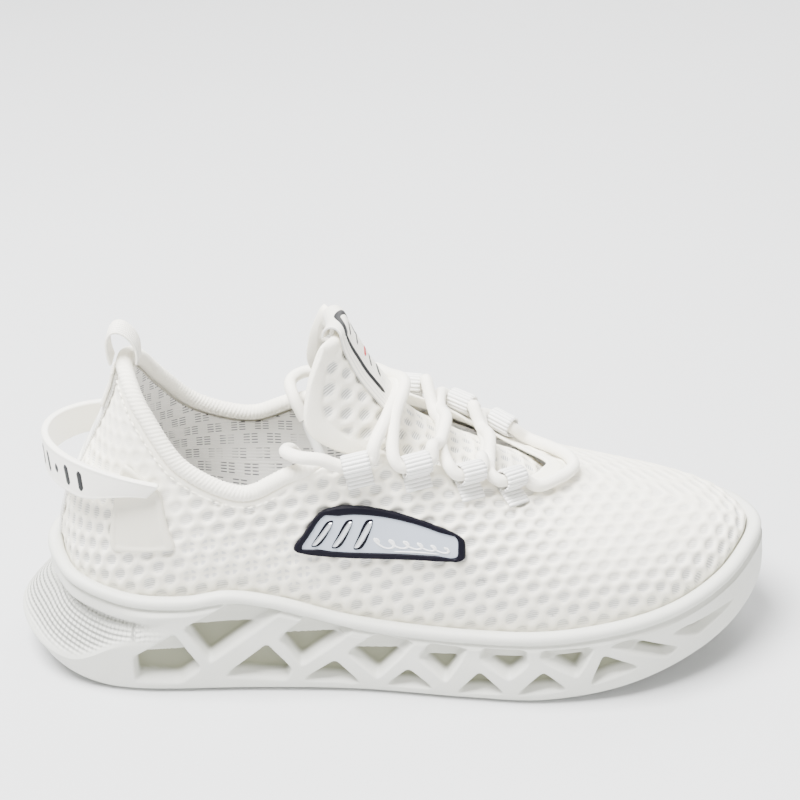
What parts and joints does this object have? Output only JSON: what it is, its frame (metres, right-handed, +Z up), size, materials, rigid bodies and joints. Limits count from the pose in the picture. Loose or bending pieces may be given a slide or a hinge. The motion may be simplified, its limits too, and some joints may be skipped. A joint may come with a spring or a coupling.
{
  "type": "running shoe",
  "caption": "Right running shoe with an open-lattice foam sole, a knit upper, a padded tongue, a crossed lace in webbing tabs, and a strap and a pull loop at the heel.",
  "frame": {"origin": "centre of the shoe's bounding box in plan, on the ground plane under the sole", "axes": "+X from heel to toe, +Y towards the inner (medial) side, +Z up"},
  "size_m": [0.3, 0.1077, 0.1416],
  "materials": {
    "foam_sole": "moulded foam, fine stipple",
    "rubber_pad": "moulded rubber",
    "board": "pressed fibre board",
    "sockliner_foam": "foam with a knit face",
    "knit": "engineered knit with open cells",
    "lining_knit": "thin mesh knit",
    "stiffener": "thin formed sheet",
    "webbing": "ribbed woven tape",
    "binding": "ribbed knit tube",
    "strap_tpu": "soft moulded plastic, satin",
    "patch_tpu": "welded film, translucent satin",
    "badge_dark": "raised satin edge",
    "badge_film": "glossy film",
    "badge_metallic": "metallised plastic",
    "lace_cord": "round braid",
    "aglet_plastic": "clear sleeve"
  },
  "bodies": {
    "shoe": {"midsole": "foam_sole", "outsole_heel": "rubber_pad", "outsole_forefoot": "rubber_pad", "insole_board": "board", "upper": "knit", "lining": "lining_knit", "heel_counter": "stiffener", "toe_puff": "stiffener", "heel_tape": "webbing", "collar_binding": "binding", "heel_loop_leg_outer": "webbing", "heel_loop_leg_inner": "webbing", "strap_patch_lateral": "patch_tpu", "strap_patch_medial": "patch_tpu", "badge_base": "badge_dark", "badge_inlay": "badge_film", "badge_bar_1": "badge_metallic", "badge_bar_2": "badge_metallic", "badge_bar_3": "badge_metallic", "tongue_lower": "knit", "lace_tab_lateral_1": "webbing", "lace_tab_lateral_2": "webbing", "lace_tab_lateral_3": "webbing", "lace_tab_lateral_4": "webbing", "lace_tab_medial_1": "webbing", "lace_tab_medial_2": "webbing", "lace_tab_medial_3": "webbing", "lace_tab_medial_4": "webbing", "lace": "lace_cord", "aglet_medial": "aglet_plastic", "aglet_lateral": "aglet_plastic"},
    "tongue_flap": {"tongue_upper": "knit", "tongue_ribbon": "webbing"},
    "pull_loop": {"heel_loop_arch": "webbing"},
    "strap": {"heel_strap": "strap_tpu"},
    "insole": {"sockliner": "sockliner_foam"}
  },
  "joints": [
    {"name": "tongue_fold", "type": "hinge", "parent": "shoe", "child": "tongue_flap", "pos_m": [-0.00043, 0, 0.10772], "axis": [0, 1, 0], "range_deg": [0, 35], "stiffness_Nm_per_rad": 0.05},
    {"name": "heel_loop_swing", "type": "hinge", "parent": "shoe", "child": "pull_loop", "pos_m": [-0.10047, 0, 0.12419], "axis": [0, 1, 0], "range_deg": [-30, 30], "stiffness_Nm_per_rad": 0.002},
    {"name": "heel_strap_flex", "type": "hinge", "parent": "shoe", "child": "strap", "pos_m": [-0.0923, 0, 0.0832], "axis": [0, 1, 0], "range_deg": [-8, 8], "stiffness_Nm_per_rad": 0.05},
    {"name": "sockliner_lift", "type": "hinge", "parent": "shoe", "child": "insole", "pos_m": [0.1355, 0, 0.0365], "axis": [0, 1, 0], "range_deg": [0, 4]}
  ]
}
